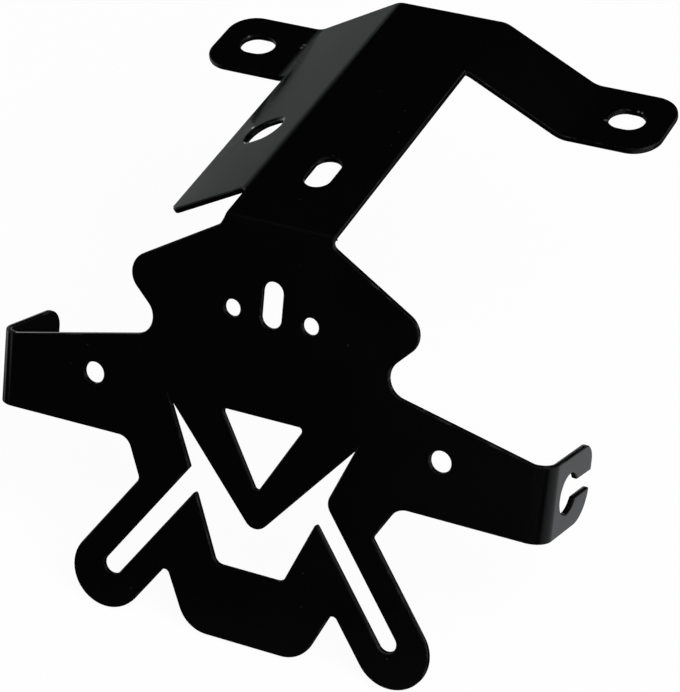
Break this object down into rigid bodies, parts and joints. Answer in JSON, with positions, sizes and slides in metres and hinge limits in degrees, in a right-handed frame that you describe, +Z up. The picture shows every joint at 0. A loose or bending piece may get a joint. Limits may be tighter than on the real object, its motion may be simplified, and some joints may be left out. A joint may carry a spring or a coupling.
{
  "type": "motorbike tail tidy",
  "caption": "Folded sheet-steel tail bracket: hat-shaped spine with slotted tabs and a cable flange, and a sloping number-plate face with keyholed ears",
  "frame": {"origin": "midway between the two tab slots, on the upper face of the tabs", "axes": "+X to the bike's right seen from behind, +Y forward along the bike, +Z up"},
  "size_m": [0.19, 0.1756, 0.127],
  "materials": {
    "powder_coat": "black satin powder coat on folded steel sheet"
  },
  "bodies": {
    "root": {"tail_tidy_bracket": "powder_coat"}
  },
  "joints": []
}
